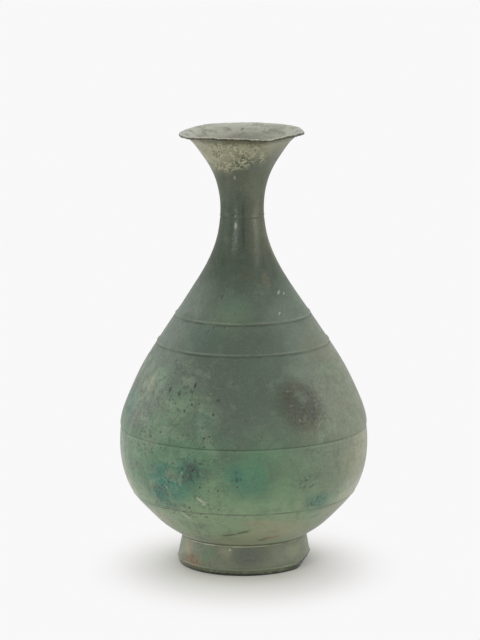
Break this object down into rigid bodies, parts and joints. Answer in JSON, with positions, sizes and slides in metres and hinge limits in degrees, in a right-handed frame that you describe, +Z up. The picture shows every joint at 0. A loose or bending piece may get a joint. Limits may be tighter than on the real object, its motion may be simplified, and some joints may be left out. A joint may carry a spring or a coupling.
{
  "type": "bronze hu vessel",
  "caption": "Pear-shaped bronze bottle with a wide flat lip, slender neck, raised threads on the shoulder, a lapped belly seam and a flared foot ring.",
  "frame": {"origin": "centre of the foot ring's resting face, on the bottle's axis", "axes": "+Z up along the bottle's axis; the side shown in the picture faces -Y, with +X to the viewer's right"},
  "size_m": [0.1816, 0.1816, 0.3198],
  "materials": {
    "bronze": "cast and turned bronze under a worn grey-green patina",
    "solder": "dull pale soft solder with grey-green corrosion"
  },
  "bodies": {
    "root": {"upper_shell": "bronze", "bowl": "bronze", "foot_ring": "bronze", "belly_solder": "solder", "foot_solder": "solder"}
  },
  "joints": []
}
